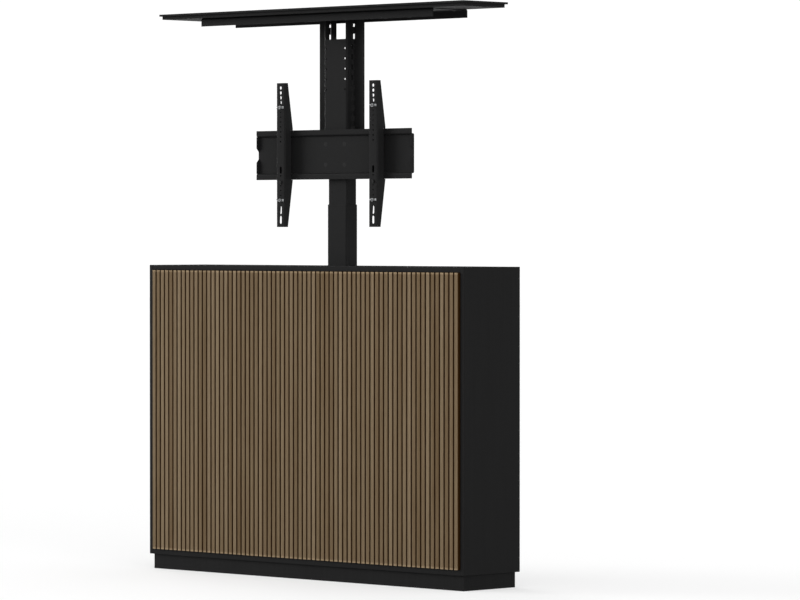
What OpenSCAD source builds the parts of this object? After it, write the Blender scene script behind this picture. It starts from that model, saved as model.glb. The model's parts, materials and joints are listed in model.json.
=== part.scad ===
// Lift cabinet for a flat screen: a slatted cabinet, a three stage lifting column and a screen mount
// that carries the lid. It is drawn raised. X runs across, Y from front to back and Z up, and the
// origin lies on the floor under the middle of the whole part.

/* [Cabinet] */
// Width over the side panels
body_w = 1360; // [1200:10:1700]
// Depth from the front edges to the back edges of the side panels
body_d = 240; // [236:1:300]
// Height of the cabinet
body_h = 950; // [920:10:1150]
// Thickness of the cabinet boards
board_t = 16; // [15:0.5:18]
// Thickness of the back panels
back_t = 6; // [4:0.5:10]
// Height of the plinth
plinth_h = 46; // [30:1:80]
// Distance that the plinth stands in from the cabinet faces
plinth_inset = 10; // [6:1:20]
// Width of the removable service panel in the back
service_w = 460; // [300:10:700]
// Height of the rail that ties the side panels behind the column
stretcher_h = 80; // [50:5:120]
// Height of the stretcher rail's middle above the floor
stretcher_z = 600; // [420:10:660]

/* [Slatted front] */
// Width of one slat
slat_w = 13.2; // [8:0.1:24]
// Width of the groove between two slats
slat_gap = 6; // [3:0.5:12]
// Thickness of a slat
slat_t = 10; // [8:0.5:14]
// Distance that the slats stand proud of the cabinet's front edges
slat_proud = 7; // [2:0.5:8]
// Least distance from the cabinet's side to the first slat
slat_margin = 20; // [18:0.5:40]
// Gap above and below the slats
slat_end_gap = 0.6; // [0.2:0.1:3]
// Bevel along the edges of a slat
slat_bevel = 0.8; // [0.3:0.1:2]
// Thickness of the board that carries the slats
front_t = 12; // [9:0.5:16]

/* [Lid] */
// Thickness of the lid
lid_t = 16; // [14:0.5:18]
// Thickness of the lid's overhanging lip
lid_lip_t = 6; // [4:0.5:8]
// Width of the lid's overhanging lip
lid_lip_w = 7; // [5:0.5:10]
// Distance from the cabinet's sides to the lid
lid_side_inset = 23; // [21:0.5:30]
// Distance from the cabinet's front edges to the lid
lid_front_inset = 21; // [19:0.5:24]
// Distance from the cabinet's back edges to the lid
lid_back_inset = 28; // [24:0.5:32]
// Clearance round the lid when it is closed
lid_gap = 1.5; // [1:0.1:3]

/* [Lifting column] */
// Distance that the lid rises
lift_travel = 782; // [500:1:790]
// Distance that the middle tube rises out of the outer tube
middle_travel = 421; // [260:1:430]
// Distance from the cabinet's front edges to the middle of the column
column_setback = 175; // [173:0.5:180]
// Width of the outer tube
tube_w = 91; // [80:0.5:92]
// Depth of the outer tube
tube_d = 54; // [46:0.5:55]
// Outer corner radius of the outer tube
tube_r = 9; // [8:0.5:12]
// Wall of the three tubes
tube_wall = 1.6; // [1.2:0.1:1.8]
// Gap between one tube and the next
tube_gap = 1.4; // [1.2:0.1:1.5]
// Distance from the cabinet's top down to the outer tube's top
column_drop = 250; // [245:5:290]

/* [Mast] */
// Width over the mast's two wings
mast_w = 192; // [150:1:240]
// Width of the mast's raised channel
crown_w = 97.4; // [96:0.2:110]
// Depth of the mast's raised channel
crown_d = 29.3; // [24:0.1:31]
// Thickness of the mast's sheet
mast_t = 2; // [1.5:0.1:2.2]
// Pitch of the mast's slots and holes
mast_pitch = 31.2; // [26:0.2:40]
// Length of a slot on the mast's bends
mast_slot_len = 15.5; // [10:0.5:20]
// Diameter of the holes in the mast's channel
mast_hole_d = 6; // [4:0.2:8]
// Width of the window that cables pass through
window_w = 49; // [30:1:60]

/* [Screen mount] */
// Width of the crossbar
bar_w = 670; // [560:5:720]
// Height of the crossbar
bar_h = 151.6; // [130:0.2:180]
// Height of the lips along the crossbar's edges
bar_lip_h = 19; // [16:0.5:24]
// Thickness of the crossbar's sheet
bar_t = 3; // [2:0.1:3.2]
// Distance from the crossbar's lips back to the mast
bar_depth = 12.3; // [11:0.1:13]
// Distance from the raised lid's top to the middle of the crossbar
bar_drop = 443; // [430:1:450]
// Height of the screen arms
arm_h = 442; // [400:2:460]
// Width of the screen arms
arm_w = 38; // [32:0.5:46]
// Thickness of the arms' sheet
arm_t = 2; // [1.5:0.1:3]
// Distance between the middles of the two arms
arm_spacing = 400; // [200:10:500]
// Distance from the arms' face back to the crossbar's lips
arm_standoff = 26.7; // [22:0.1:30]
// Depth of the arms at their two ends
arm_tip_d = 13; // [10:0.5:18]
// Diameter of the screws that hold the screen
screw_d = 6; // [5:0.5:8]
// Length that the screen screws stand out in front of the arms
screw_reach = 20; // [15:1:45]

/* [Lid bracket] */
// Length of the bracket under the lid
bracket_len = 1000; // [600:10:1100]
// Depth of the bracket over its two walls
bracket_d = 149; // [140:1:152]
// Height of the bracket's walls
bracket_h = 25; // [18:0.5:32]
// Thickness of the bracket's sheet
bracket_t = 2.5; // [2:0.1:3]
// Distance from the cabinet's front edges to the bracket
bracket_setback = 54; // [50:1:57]

/* [Hidden] */

$fn = 48;
over = 1;
fit_gap = 0.1;
run_gap = 0.3;
bend_steps = 4;

// Places of the cabinet
front_y = slat_proud / 2 - body_d / 2;
back_y = front_y + body_d;
inner_w = body_w - 2 * board_t;
floor_z = plinth_h + board_t;
rail_z = body_h - board_t;
carcass_d = body_d - back_t;
plinth_w = body_w - 2 * plinth_inset;
plinth_d = body_d - 2 * plinth_inset;
front_board_y = front_y + slat_t - slat_proud;
slat_pitch = slat_w + slat_gap;
slat_count = floor((body_w - 2 * slat_margin + slat_gap) / slat_pitch);
slat_field_w = slat_count * slat_pitch - slat_gap;
panel_gap = 0.5;
panel_h = body_h - plinth_h;

// Places of the lid
lid_w = body_w - 2 * lid_side_inset;
lid_d = body_d - lid_front_inset - lid_back_inset;
lid_y = front_y + lid_front_inset;
lid_top = body_h + lift_travel;
lid_bottom = lid_top - lid_t;
rebate_d = lid_lip_t + 0.1 * lid_lip_t;

// Places of the column
column_y = front_y + column_setback;
stage_step = tube_wall + tube_gap;
base_t = 4;
base_w = 300;
base_d = 80;
base_hole_x = base_w / 2 - 15;
base_hole_y = base_d / 2 - 12;
base_bolt_d = 8;
base_bolt_len = 14;
tube_z = floor_z + base_t;
middle_reveal = 13.5;
inner_reveal = 9.5;
outer_top = body_h - column_drop;
middle_top = outer_top + middle_reveal + middle_travel;
inner_top = outer_top + middle_reveal + inner_reveal + lift_travel;
stage_foot_gap = 12.5;
nut_h = 36;
nut_gap = 2.5;
nut_floor = 6;
middle_z = tube_z + stage_foot_gap + middle_travel;
middle_len = middle_top - middle_z;
inner_z = tube_z + stage_foot_gap + nut_h + nut_gap + lift_travel;
inner_len = inner_top - inner_z;
collar_t = 2;
glide_len = 40;
spindle_d = 14;
hollow_d = 24;
hollow_bore = spindle_d + 2;
spindle_end = 8;

// Places of the saddle, the drive and the controller
saddle_t = 3;
saddle_w = 150;
saddle_h = 44;
saddle_hole_x = saddle_w / 2 - 12;
stretcher_t = board_t;
stretcher_y = back_y - back_t - stretcher_t;
gearbox_w = 62;
gearbox_d = 66;
gearbox_h = 56;
gearbox_x = -tube_w / 2 - gearbox_w / 2;
motor_r = 30;
motor_h = 118;
motor_cap_h = 12;
case_w = 180;
case_d = 80;
case_h = 42;
case_wall = 2.5;
case_base_h = 26;
case_x = body_w / 4;
case_y = back_y - back_t - case_d / 2 - 2 * board_t / 4;
inlet_w = 30;
inlet_h = 20;
inlet_wall = 2.5;
inlet_depth = 16;
inlet_pin_len = 6;
inlet_pin_t = 2;
inlet_pin_h = 4;
inlet_z = floor_z + case_wall + 1.5;

// Places of the mast
mast_bend = 3;
crown_y = column_y - tube_d / 2 - stage_step;
wing_y = crown_y + crown_d;
bracket_top = lid_bottom;
bracket_web_z = bracket_top - bracket_t;
top_plate_t = 3;
mast_top = bracket_web_z - top_plate_t;
bar_z = lid_top - bar_drop;
mast_z = bar_z - bar_h / 2 + 12;
mast_len = mast_top - mast_z;
crown_end = mast_top - 70.5;
slot_first = mast_top - 28.6;
slot_first_len = 9;
slot_second = mast_top - 62.3;
slot_count = floor((slot_second - mast_z - mast_slot_len / 2) / mast_pitch) + 1;
slot_reach = 6.8;
slot_bite = 9.4;
hole_first = crown_end - 28;
hole_rows = 5;
hole_inset = 8.2;
window_z = crown_end + 1;
window_h = mast_top - window_z - 10;
window_r = 3;
back_plate_z = crown_end - 18;
back_plate_x = crown_w / 2 + mast_bend - sqrt(pow(mast_bend + mast_t, 2) - pow(mast_bend, 2)) - fit_gap;
top_plate_d = 58;
mast_bolt_d = 8;
mast_bolt_len = 15;
mast_bolt_x = mast_w / 2 - 22;
mast_bolt_y = top_plate_d / 2 - 9;
top_plate_y = wing_y - 8;

// Places of the column's head
head_t = 5;
head_front = crown_y + mast_t;
head_back = column_y + tube_d / 2 - 2 * stage_step;
head_tab_t = 3;
head_tab_h = 46;
head_tab_y = head_front + mast_bend;
head_tab_d = wing_y - slot_bite - run_gap - head_tab_y;
head_post_h = crown_end - 4 - inner_top;
head_post_y = wing_y + over;
head_post_w = 7.6;
head_bolt_d = 6;
head_bolt_z = [16, 34];
head_bolt_y = head_tab_y + head_tab_d / 2;

// Places of the crossbar and the arms
bar_y = crown_y - bar_depth;
bar_bend = 2;
notch_mouth = 44.5;
notch_floor = 22;
bar_screw_d = 8;
bar_screw_head = 14;
bar_screw_x = crown_w / 2 - hole_inset;
arm_y = bar_y - arm_standoff;
arm_z = bar_z - arm_h / 2;
arm_bend = 2.5;
arm_hook_t = 4;
arm_hook_drop = 12;
arm_hook_wall = 6;
arm_inner_tip = arm_tip_d - 1;
arm_inner_d = arm_tip_d + 7.5;
arm_inner_run = 90;
arm_seat_d = arm_standoff - run_gap;
arm_lip_back = arm_standoff + bar_t + run_gap;
arm_hook_d = arm_lip_back + arm_hook_t;
arm_bar_top = (arm_h + bar_h) / 2;
arm_bar_bottom = (arm_h - bar_h) / 2;
arm_pitch = 15;
arm_hole_d = 5.5;
arm_slot_w = 9.2;
arm_short_slot = 10;
arm_long_slot = 24.5;
arm_mid_slot = 22;
arm_top_first = 15;
arm_top_slots = 4;
arm_top_holes = 7;
arm_low_first = 22;
arm_low_slots = 2;
arm_low_holes = [1, 2, 3, 5];
arm_mid_row = 6;
arm_mid_shift = 2.9;
screen_low = arm_low_first + 2 * arm_low_slots * arm_pitch;
screen_high = arm_h - arm_top_first - arm_top_slots * arm_pitch;
screen_z = [screen_low, screen_high];
screw_head_d = 11;
screw_core_d = screw_d - 1;
screw_head_h = 4;
screw_plate_w = arm_w - 2 * (arm_t + arm_bend);
screw_plate_h = 7;
screw_plate_t = 1.5;
screw_nut_d = 11;
screw_nut_h = 3.4;
screw_nut_top = screw_plate_t / 2 + screw_nut_h;
latch_h = 16;
latch_leg = 11;
latch_screw_d = 6;
latch_screw_len = 12;

// Places of the lid's screws
lid_screw_d = 4.5;
lid_screw_head = 9;
lid_screw_len = 11;
lid_screw_inset = 28;
lid_screw_columns = 4;

// Colours as the photograph shows them
board_black = [0.13, 0.13, 0.13];
steel_black = [0.15, 0.15, 0.155];
slat_brown = [0.47, 0.41, 0.32];
zinc = [0.8, 0.8, 0.8];
plastic_black = [0.09, 0.09, 0.09];
back_black = [0.16, 0.155, 0.15];
cast_grey = [0.42, 0.43, 0.44];

function unit(v) = v / norm(v);
function left_of(v) = [-v.y, v.x];
function turned(v, a) = [v.x * cos(a) - v.y * sin(a), v.x * sin(a) + v.y * cos(a)];
function reversed(list) = [for (i = [len(list) - 1 : -1 : 0]) list[i]];

// Points of one rounded bend of a folded sheet, on its left face (side 1) or its right face (side -1)
function bend_points(a, b, c, side, t, r) =
    let (
        u = unit(b - a),
        v = unit(c - b),
        way = sign(u.x * v.y - u.y * v.x),
        angle = acos(u * v),
        mid_r = r + t / 2,
        centre = b - u * mid_r * tan(angle / 2) + left_of(u) * way * mid_r,
        arm = -left_of(u) * way * (mid_r - way * side * t / 2)
    )
    [for (k = [0 : bend_steps]) centre + turned(arm, way * angle * k / bend_steps)];

// Points along one face of a folded sheet whose middle line is the path
function face_points(path, side, t, r) =
    let (
        last = len(path) - 1,
        start = unit(path[1] - path[0]),
        stop = unit(path[last] - path[last - 1])
    )
    concat(
        [path[0] + left_of(start) * side * t / 2],
        [for (i = [1 : last - 1]) each bend_points(path[i - 1], path[i], path[i + 1], side, t, r)],
        [path[last] + left_of(stop) * side * t / 2]
    );

// Section of a sheet folded along a path of straight runs, with an inside radius at each bend
module folded_sheet(path, t, r) {
    polygon(concat(face_points(path, 1, t, r), reversed(face_points(path, -1, t, r))));
}

module rounded_rect(w, d, r) {
    square([w - 2 * r, d], center = true);
    square([w, d - 2 * r], center = true);
    for (x = [-1, 1], y = [-1, 1]) {
        translate([x * (w / 2 - r), y * (d / 2 - r)]) circle(r = r);
    }
}

// A box by its lowest corner, centred across X
module block(w, d, h, y, z, x = 0) {
    translate([x - w / 2, y, z]) cube([w, d, h]);
}

// An outline in Y and Z, drawn out along X about the middle
module along_x(length) {
    rotate([90, 0, 90]) linear_extrude(height = length, center = true) children();
}

// A hole along Y with round ends, upright, centred on the origin
module upright_slot(w, length, depth) {
    cube([w, depth, length - w], center = true);
    for (z = [-1, 1]) {
        translate([0, 0, z * (length - w) / 2]) rotate([90, 0, 0]) cylinder(d = w, h = depth, center = true);
    }
}

// A bolt whose head lies under the origin plane and whose shank rises through it
module bolt(d, head_d, head_h, length, sides = 48) {
    translate([0, 0, -head_h]) cylinder(d = head_d, h = head_h, $fn = sides);
    translate([0, 0, -head_h / 2]) cylinder(d = d, h = length + head_h / 2);
}

// Cabinet

module side_panel(side) {
    color(board_black) block(board_t, body_d, panel_h, front_y, plinth_h, side * (body_w - board_t) / 2);
}

module bottom_board() {
    color(board_black) difference() {
        block(inner_w, carcass_d, board_t, front_y, plinth_h);
        service_screw_places() bolt_hole(panel_screw_d, panel_screw_len);
        base_bolt_places() cylinder(d = base_bolt_d + 2 * fit_gap, h = 2 * base_bolt_len, center = true);
    }
}

// One rail of the rim round the lid: a board with a rebate in which the lid's lip lies.
// The rail's own X runs along it and its Y from the outer edge towards the opening.
module rim_rail(length, width) {
    difference() {
        block(length, width, board_t, 0, rail_z);
        block(length + 2 * over, lid_lip_w + over, rebate_d + over, width - lid_lip_w, body_h - rebate_d);
    }
}

rim_front_w = lid_front_inset - lid_gap + lid_lip_w;
rim_back_w = lid_back_inset - back_t - lid_gap + lid_lip_w;
rim_side_w = lid_side_inset - board_t - lid_gap + lid_lip_w;
rim_open_d = carcass_d - rim_front_w - rim_back_w;

// The front and back rails keep their full thickness past the opening's corners
module long_rail(width) {
    rim_rail(inner_w - 2 * (rim_side_w - lid_lip_w), width);
    for (x = [-1, 1]) {
        block(rim_side_w - lid_lip_w, width, board_t, 0, rail_z, x * (inner_w - rim_side_w + lid_lip_w) / 2);
    }
}

module top_rail_front() {
    color(board_black) translate([0, front_y, 0]) long_rail(rim_front_w);
}

module top_rail_back() {
    color(board_black) difference() {
        translate([0, back_y - back_t, 0]) mirror([0, 1, 0]) long_rail(rim_back_w);
        service_screw_places() bolt_hole(panel_screw_d, panel_screw_len);
    }
}

module top_rail_side(side) {
    color(board_black)
        translate([side * inner_w / 2, front_y + rim_front_w + rim_open_d / 2, 0])
            rotate([0, 0, side * 90])
                rim_rail(rim_open_d, rim_side_w);
}

module plinth_long(y) {
    color(board_black) block(plinth_w, board_t, plinth_h, y, 0);
}

module plinth_side(side) {
    color(board_black)
        block(board_t, plinth_d - 2 * board_t, plinth_h, front_y + plinth_inset + board_t, 0,
              side * (plinth_w - board_t) / 2);
}

module front_board() {
    color(board_black) block(inner_w, front_t, rail_z - floor_z, front_board_y, floor_z);
}

module slat() {
    linear_extrude(height = rail_z - floor_z - 2 * slat_end_gap)
        polygon([
            [-slat_w / 2, slat_t], [-slat_w / 2, slat_bevel], [slat_bevel - slat_w / 2, 0],
            [slat_w / 2 - slat_bevel, 0], [slat_w / 2, slat_bevel], [slat_w / 2, slat_t]
        ]);
}

module front_slats() {
    color(slat_brown)
        for (i = [0 : slat_count - 1]) {
            translate([(slat_w - slat_field_w) / 2 + i * slat_pitch, front_y - slat_proud,
                       floor_z + slat_end_gap]) slat();
        }
}

module stretcher_rail() {
    color(board_black) difference() {
        block(inner_w, stretcher_t, stretcher_h, stretcher_y, stretcher_z - stretcher_h / 2);
        saddle_screw_places() bolt_hole(saddle_screw_d, saddle_screw_len);
    }
}

panel_screw_d = 3.5;
panel_screw_head = 7;
panel_screw_len = 20;
panel_screw_inset = board_t / 2;
service_edges_x = service_w / 2 - 30;

module back_panel(side) {
    w = (inner_w - service_w) / 2 - panel_gap;
    color(back_black) block(w, back_t, panel_h, back_y - back_t, plinth_h, side * (inner_w - w) / 2);
}

grommet_r = 30;
grommet_flange = 5;
grommet_flange_t = 2;
grommet_wall = 2;
grommet_z = floor_z + 90;
grommet_x = service_w / 4;

// Screws along the service panel's upper and lower edges, pointing forward
module service_screw_places() {
    for (x = [-1, 0, 1], z = [plinth_h + panel_screw_inset, body_h - panel_screw_inset]) {
        translate([x * service_edges_x, back_y, z]) rotate([90, 0, 0]) children();
    }
}

module service_panel() {
    color(back_black) difference() {
        block(service_w, back_t, panel_h, back_y - back_t, plinth_h);
        translate([grommet_x, back_y, grommet_z]) rotate([90, 0, 0])
            cylinder(r = grommet_r + grommet_wall, h = 2 * (back_t + over), center = true);
        service_screw_places() {
            bolt_hole(panel_screw_d, back_t + over);
            cylinder(d1 = panel_screw_head, d2 = panel_screw_d, h = back_t / 2);
        }
    }
}

module service_screws() {
    color(steel_black) service_screw_places()
        sunk_screw(panel_screw_d, panel_screw_head, back_t / 2, panel_screw_len);
}

module cable_grommet() {
    color(plastic_black)
        translate([grommet_x, back_y - back_t, grommet_z]) rotate([90, 0, 0])
            difference() {
                union() {
                    translate([0, 0, -back_t]) cylinder(r = grommet_r + grommet_wall, h = back_t);
                    cylinder(r = grommet_r + grommet_wall + grommet_flange, h = grommet_flange_t);
                }
                translate([0, 0, -back_t - over])
                    cylinder(r = grommet_r, h = back_t + grommet_flange_t + 2 * over);
            }
}

// Lifting column

// Outline of a tube of the column: stage 0 is the outer tube, 1 the middle and 2 the inner one
module stage_outline(stage, grow = 0) {
    shrink = 2 * (stage * stage_step - grow);
    rounded_rect(tube_w - shrink, tube_d - shrink, tube_r - shrink / 2);
}

module stage_tube(stage, z, length) {
    translate([0, column_y, z]) linear_extrude(height = length) difference() {
        stage_outline(stage);
        stage_outline(stage, -tube_wall);
    }
}

// A plastic collar on a tube's top, with a skirt that guides the next tube
module stage_collar(stage, z) {
    translate([0, column_y, z]) {
        linear_extrude(height = collar_t) difference() {
            stage_outline(stage);
            stage_outline(stage + 1, run_gap);
        }
        translate([0, 0, -glide_len]) linear_extrude(height = glide_len) difference() {
            stage_outline(stage, -tube_wall);
            stage_outline(stage + 1, run_gap);
        }
    }
}

// A plastic band round the foot of a tube, which runs in the tube outside it
module stage_glide(stage, z) {
    translate([0, column_y, z]) linear_extrude(height = glide_len) difference() {
        stage_outline(stage - 1, -tube_wall - run_gap);
        stage_outline(stage);
    }
}

// A nut block that fills the foot of a tube round a spindle
module stage_nut(stage, z, bore) {
    translate([0, column_y, z]) linear_extrude(height = nut_h) difference() {
        stage_outline(stage, -tube_wall);
        circle(d = bore);
    }
}

module base_bolt_places() {
    for (x = [-1, 1], y = [-1, 1]) {
        translate([x * base_hole_x, column_y + y * base_hole_y, tube_z]) children();
    }
}

module column_base_plate() {
    color(steel_black) difference() {
        translate([0, column_y, floor_z])
            linear_extrude(height = base_t) rounded_rect(base_w, base_d, tube_r);
        base_bolt_places() cylinder(d = base_bolt_d + 2 * fit_gap, h = 2 * (base_t + over), center = true);
    }
}

module base_bolts() {
    color(zinc) base_bolt_places() mirror([0, 0, 1]) bolt(base_bolt_d, 15, 5.3, base_bolt_len, 6);
}

module column_outer_tube() {
    color(steel_black) stage_tube(0, tube_z, outer_top - tube_z);
}

module outer_collar() {
    color(plastic_black) stage_collar(0, outer_top);
}

saddle_screw_d = 5;
saddle_screw_len = 12;

module saddle_screw_places() {
    for (x = [-1, 1], z = [-1, 1]) {
        translate([x * saddle_hole_x, stretcher_y - saddle_t, stretcher_z + z * saddle_h / 4])
            rotate([-90, 0, 0]) children();
    }
}

module bolt_hole(d, depth) {
    translate([0, 0, -over]) cylinder(d = d + 2 * fit_gap, h = depth + over + fit_gap);
}

// A folded strap that ties the outer tube's back to the stretcher rail
module column_saddle() {
    tube_back = column_y + tube_d / 2;
    strap_mid = stretcher_y - saddle_t / 2;
    hat_mid = tube_back + saddle_t / 2;
    hat_w = tube_w - 2 * tube_r;
    color(steel_black) difference() {
        translate([0, 0, stretcher_z - saddle_h / 2]) linear_extrude(height = saddle_h)
            folded_sheet([
                [-saddle_w / 2, strap_mid], [-hat_w / 2, strap_mid], [-hat_w / 2, hat_mid],
                [hat_w / 2, hat_mid], [hat_w / 2, strap_mid], [saddle_w / 2, strap_mid]
            ], saddle_t, 1);
        saddle_screw_places() bolt_hole(saddle_screw_d, saddle_t);
    }
}

module saddle_screws() {
    color(zinc) saddle_screw_places() bolt(saddle_screw_d, 9, 2.6, saddle_screw_len);
}

module gearbox_housing() {
    color(cast_grey) translate([gearbox_x, column_y, tube_z]) {
        linear_extrude(height = gearbox_h - 6) rounded_rect(gearbox_w, gearbox_d, 8);
        translate([0, 0, gearbox_h - 6]) linear_extrude(height = 6)
            rounded_rect(gearbox_w - 4, gearbox_d - 4, 6);
        for (y = [-1, 1]) {
            translate([0, y * (gearbox_d / 2 - 1), 12]) cube([gearbox_w - 20, 4, 20], center = true);
        }
    }
}

module lift_motor() {
    color(steel_black) translate([gearbox_x, column_y, tube_z + gearbox_h]) {
        cylinder(r = motor_r * 0.8, h = 4);
        translate([0, 0, 4]) cylinder(r = motor_r, h = motor_h - 4);
        translate([0, 0, motor_h - over]) cylinder(r1 = motor_r, r2 = motor_r - 4, h = motor_cap_h);
    }
}

// The controller's lower shell, open on top and at the inlet
module controller_case() {
    color(plastic_black) translate([case_x, case_y, floor_z]) difference() {
        linear_extrude(height = case_base_h) rounded_rect(case_w, case_d, 6);
        translate([0, 0, case_wall]) linear_extrude(height = case_base_h)
            rounded_rect(case_w - 2 * case_wall, case_d - 2 * case_wall, 6 - case_wall);
        inlet_cut(fit_gap);
    }
}

module inlet_cut(grow) {
    translate([case_w / 2 - case_wall / 2, 0, inlet_z - floor_z + inlet_h / 2])
        cube([case_wall + 2 * over, inlet_w + 2 * grow, inlet_h + 2 * grow], center = true);
}

// The controller's upper shell, with cooling ribs on its top
module controller_cover() {
    top = case_h - case_base_h;
    color(steel_black) translate([case_x, case_y, floor_z + case_base_h]) {
        difference() {
            linear_extrude(height = top) rounded_rect(case_w, case_d, 6);
            translate([0, 0, -over]) linear_extrude(height = top - case_wall + over)
                rounded_rect(case_w - 2 * case_wall, case_d - 2 * case_wall, 6 - case_wall);
        }
        for (i = [-3 : 3]) {
            translate([i * case_w / 9, 0, top + 1]) cube([6, case_d - 20, 2], center = true);
        }
    }
}

// A mains inlet with three pins, set in the case's end wall
module mains_inlet() {
    color(plastic_black) translate([case_x + case_w / 2, case_y, inlet_z]) {
        difference() {
            block(inlet_depth + grommet_flange_t, inlet_w, inlet_h, -inlet_w / 2, 0,
                  (grommet_flange_t - inlet_depth) / 2);
            block(inlet_depth, inlet_w - 2 * inlet_wall, inlet_h - 2 * inlet_wall, inlet_wall - inlet_w / 2,
                  inlet_wall, grommet_flange_t - inlet_depth / 2 + inlet_wall);
        }
        for (y = [-1, 0, 1]) {
            translate([inlet_wall - inlet_depth + inlet_pin_len / 2, y * 7, inlet_h / 2 + (y == 0 ? 2 : -2)])
                cube([inlet_pin_len, inlet_pin_t, inlet_pin_h], center = true);
        }
    }
}

// The drive spindle stands on the base and ends inside the raised middle tube
module drive_spindle() {
    color(zinc) translate([0, column_y, tube_z])
        cylinder(d = spindle_d, h = outer_top - tube_z - spindle_end);
}

module column_middle_tube() {
    color(steel_black) stage_tube(1, middle_z, middle_len);
}

module middle_collar() {
    color(plastic_black) stage_collar(1, middle_top);
}

module middle_glide() {
    color(plastic_black) stage_glide(1, middle_z);
}

module middle_nut() {
    color(plastic_black) stage_nut(1, middle_z, spindle_d + 2 * run_gap);
}

// The hollow spindle stands on the middle nut and drives the inner tube's nut
module hollow_spindle() {
    color(zinc) translate([0, column_y, middle_z + nut_h])
        linear_extrude(height = middle_len - nut_h - spindle_end) difference() {
            circle(d = hollow_d);
            circle(d = hollow_bore);
        }
}

module column_inner_tube() {
    color(steel_black) stage_tube(2, inner_z, inner_len);
}

module inner_glide() {
    color(plastic_black) stage_glide(2, inner_z);
}

module inner_nut() {
    color(plastic_black) stage_nut(2, inner_z + nut_h + nut_floor, hollow_d + 2 * run_gap);
}

// Column head and mast

crown_in = crown_w / 2 - mast_t;

module head_bolt_places() {
    for (x = [-1, 1], z = head_bolt_z) {
        translate([x * crown_w / 2, head_bolt_y, inner_top + z]) rotate([0, -x * 90, 0]) children();
    }
}

// A plate welded on the inner tube, with two tabs inside the mast's channel and two posts behind it
module column_head() {
    color(steel_black) difference() {
        union() {
            translate([0, (head_front + head_back) / 2, inner_top]) linear_extrude(height = head_t)
                rounded_rect(2 * crown_in, head_back - head_front, mast_bend + run_gap);
            for (x = [-1, 1]) {
                translate([x * (crown_in - head_tab_t / 2), 0, 0]) {
                    block(head_tab_t, head_tab_d, head_tab_h, head_tab_y, inner_top);
                    block(head_tab_t, head_back - head_post_y - mast_bend, head_post_h,
                          head_post_y, inner_top);
                }
                block(head_post_w, head_tab_t, head_post_h, head_post_y, inner_top,
                      x * (crown_in - head_post_w / 2));
            }
        }
        head_bolt_places() bolt_hole(head_bolt_d, mast_t + head_tab_t + over);
    }
}

module head_bolts() {
    color(steel_black) head_bolt_places() bolt(head_bolt_d, 11, 3, mast_t + head_tab_t);
}

// The mast: one folded sheet, a channel round the column with a wing on each side
module mast_channel() {
    crown_mid = crown_y + mast_t / 2;
    wing_mid = wing_y - mast_t / 2;
    wall_mid = crown_w / 2 - mast_t / 2;
    color(steel_black) difference() {
        translate([0, 0, mast_z]) linear_extrude(height = mast_len)
            folded_sheet([
                [-mast_w / 2, wing_mid], [-wall_mid, wing_mid], [-wall_mid, crown_mid],
                [wall_mid, crown_mid], [wall_mid, wing_mid], [mast_w / 2, wing_mid]
            ], mast_t, mast_bend);
        crown_cut();
        mast_slots();
        mast_holes();
        head_bolt_places() bolt_hole(head_bolt_d, mast_t + over);
        bar_screw_places() bolt_hole(bar_screw_d, bar_t + mast_t + over);
    }
}

// The channel's face stops short of the mast's top, in front of the cable window
module crown_cut() {
    block(2 * (crown_in - mast_bend), 2 * mast_t + mast_bend, mast_top - crown_end + over, crown_y - mast_t,
          crown_end);
}

// Slots punched across the two bends between the channel and the wings, the first one shorter
module mast_slots() {
    mast_slot(slot_first, slot_first_len);
    for (i = [0 : slot_count - 1]) {
        mast_slot(slot_second - i * mast_pitch, mast_slot_len);
    }
}

module mast_slot(z, length) {
    w = slot_reach + slot_bite;
    for (x = [-1, 1]) {
        block(w, 2 * slot_bite, length, wing_y - slot_bite, z - length / 2,
              x * (crown_w / 2 + slot_reach - w / 2));
    }
}

module mast_holes() {
    for (x = [-1, 1], i = [0 : hole_rows - 1]) {
        translate([x * (crown_w / 2 - hole_inset), crown_y, hole_first - i * mast_pitch]) rotate([90, 0, 0])
            cylinder(d = mast_hole_d, h = 2 * (mast_t + over), center = true);
    }
}

// The plate that closes the mast's channel at the top, with the cable window
module mast_back_plate() {
    color(steel_black) difference() {
        block(2 * back_plate_x, mast_t, mast_top - back_plate_z, wing_y - mast_t, back_plate_z);
        translate([0, wing_y, window_z + window_h / 2]) rotate([90, 0, 0])
            linear_extrude(height = 4 * mast_t, center = true) rounded_rect(window_w, window_h, window_r);
    }
}

module mast_bolt_places() {
    for (x = [-1, 1], y = [-1, 1]) {
        translate([x * mast_bolt_x, top_plate_y + y * mast_bolt_y, mast_top]) children();
    }
}

// The plate on the mast's top, bolted through the bracket into the lid
module mast_top_plate() {
    color(steel_black) difference() {
        translate([0, top_plate_y, mast_top]) linear_extrude(height = top_plate_t)
            rounded_rect(mast_w, top_plate_d, 4);
        mast_bolt_places() bolt_hole(mast_bolt_d, mast_bolt_len);
    }
}

module mast_bolts() {
    color(zinc) mast_bolt_places() bolt(mast_bolt_d, 14, 5.3, mast_bolt_len, 6);
}

// Crossbar

module bar_screw_places() {
    for (x = [-1, 1], z = [-1, 1]) {
        translate([x * bar_screw_x, crown_y - bar_t, bar_z + z * mast_pitch]) rotate([-90, 0, 0]) children();
    }
}

// A countersunk screw whose flat head lies in the origin plane
module sunk_screw(d, head_d, head_h, length) {
    cylinder(d1 = head_d, d2 = d, h = head_h);
    cylinder(d = d, h = length);
}

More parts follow.
